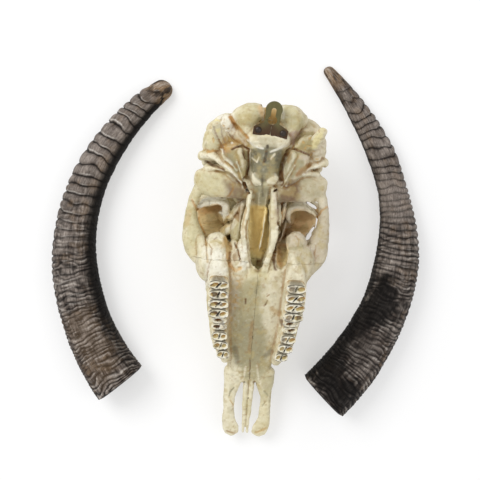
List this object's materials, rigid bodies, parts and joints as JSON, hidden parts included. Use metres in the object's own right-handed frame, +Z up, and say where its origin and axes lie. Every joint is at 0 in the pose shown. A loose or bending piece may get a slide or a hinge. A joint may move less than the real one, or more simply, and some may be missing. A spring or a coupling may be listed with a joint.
{
  "type": "roan antelope skull",
  "caption": "Antelope skull lying palate up for display, its ridged horn sheaths laid beside it, with a small keyhole plate for hanging screwed between the condyles.",
  "frame": {"origin": "centre of the bounding box's underside, on the surface that the skull and both horns lie on", "axes": "+Z up, the way the palate faces; +Y towards the back of the skull; +X towards the right-hand horn as seen from above"},
  "size_m": [0.4599, 0.4678, 0.1566],
  "materials": {
    "bone": "dry matte bone, cream with tan and grey patches",
    "horn": "matte dark grey-brown keratin with rings and fine fibres",
    "plate": "aged dark brass, satin"
  },
  "bodies": {
    "root": {"cranium": "bone", "frontal": "bone", "nasals": "bone", "maxilla_left": "bone", "maxilla_right": "bone", "premaxilla_left": "bone", "premaxilla_right": "bone", "zygomatic_left": "bone", "zygomatic_right": "bone", "horn_left": "horn", "horn_right": "horn", "hanger_plate": "plate", "hanger_screw_left": "plate", "hanger_screw_right": "plate"}
  },
  "joints": []
}
